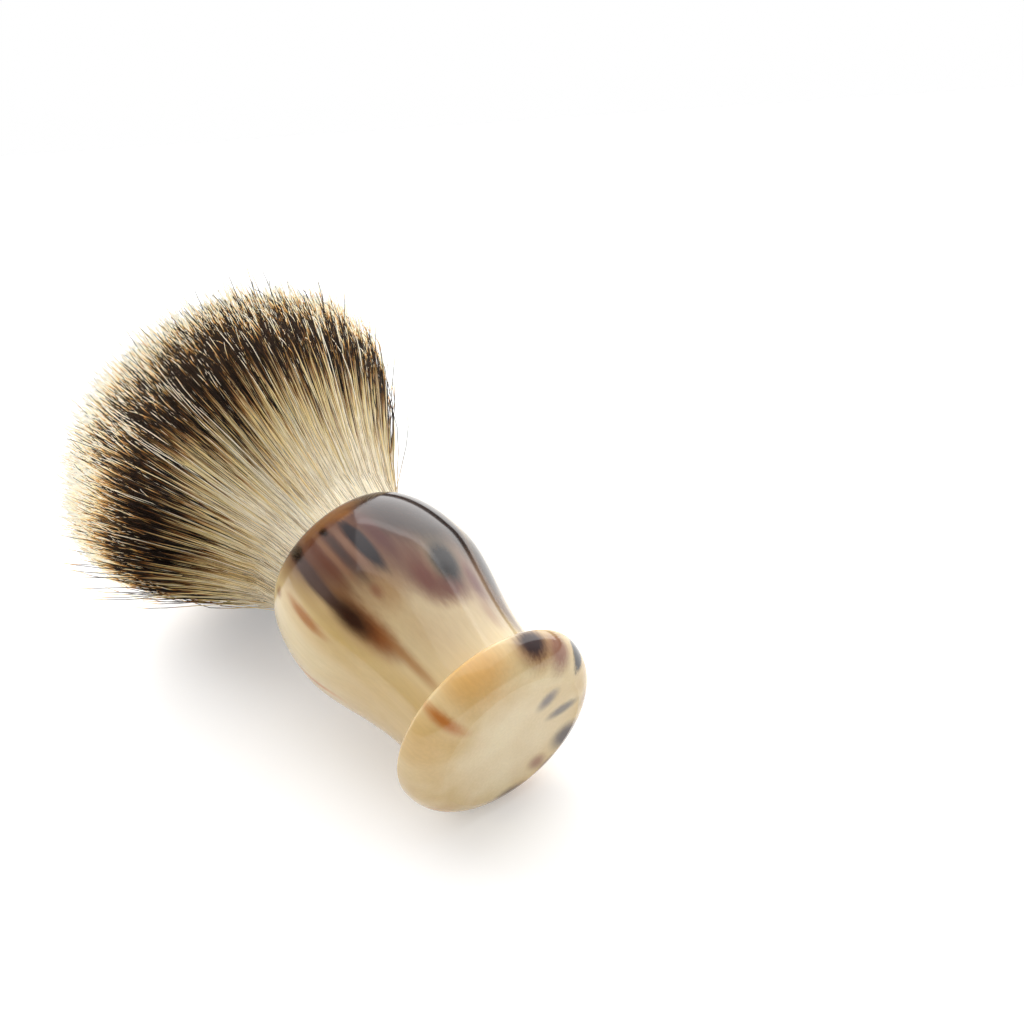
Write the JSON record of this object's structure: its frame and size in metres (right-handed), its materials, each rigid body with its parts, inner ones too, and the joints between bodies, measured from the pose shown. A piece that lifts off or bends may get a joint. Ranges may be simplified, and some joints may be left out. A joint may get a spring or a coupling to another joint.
{
  "type": "shaving brush",
  "caption": "Shaving brush: a turned horn handle with a flat foot, a waist and a bulb, and a domed knot of banded hair glued into the socket of the bulb.",
  "frame": {"origin": "centre of the flat base face that the brush stands on", "axes": "+Z along the brush's axis, from the base to the tips of the hair; X and Y are square to it, and the brush is round about Z"},
  "size_m": [0.0636, 0.0636, 0.1004],
  "materials": {
    "horn": "polished translucent horn with dark streaks along its axis",
    "epoxy": "cured clear epoxy",
    "resin": "cast resin, matt",
    "thread": "waxed cotton thread",
    "hair": "natural hair, cream at root and tip with a dark band between"
  },
  "bodies": {
    "root": {"handle": "horn", "epoxy_bed": "epoxy", "knot_plug": "resin", "knot_binding": "thread", "knot_hair": "hair"}
  },
  "joints": []
}
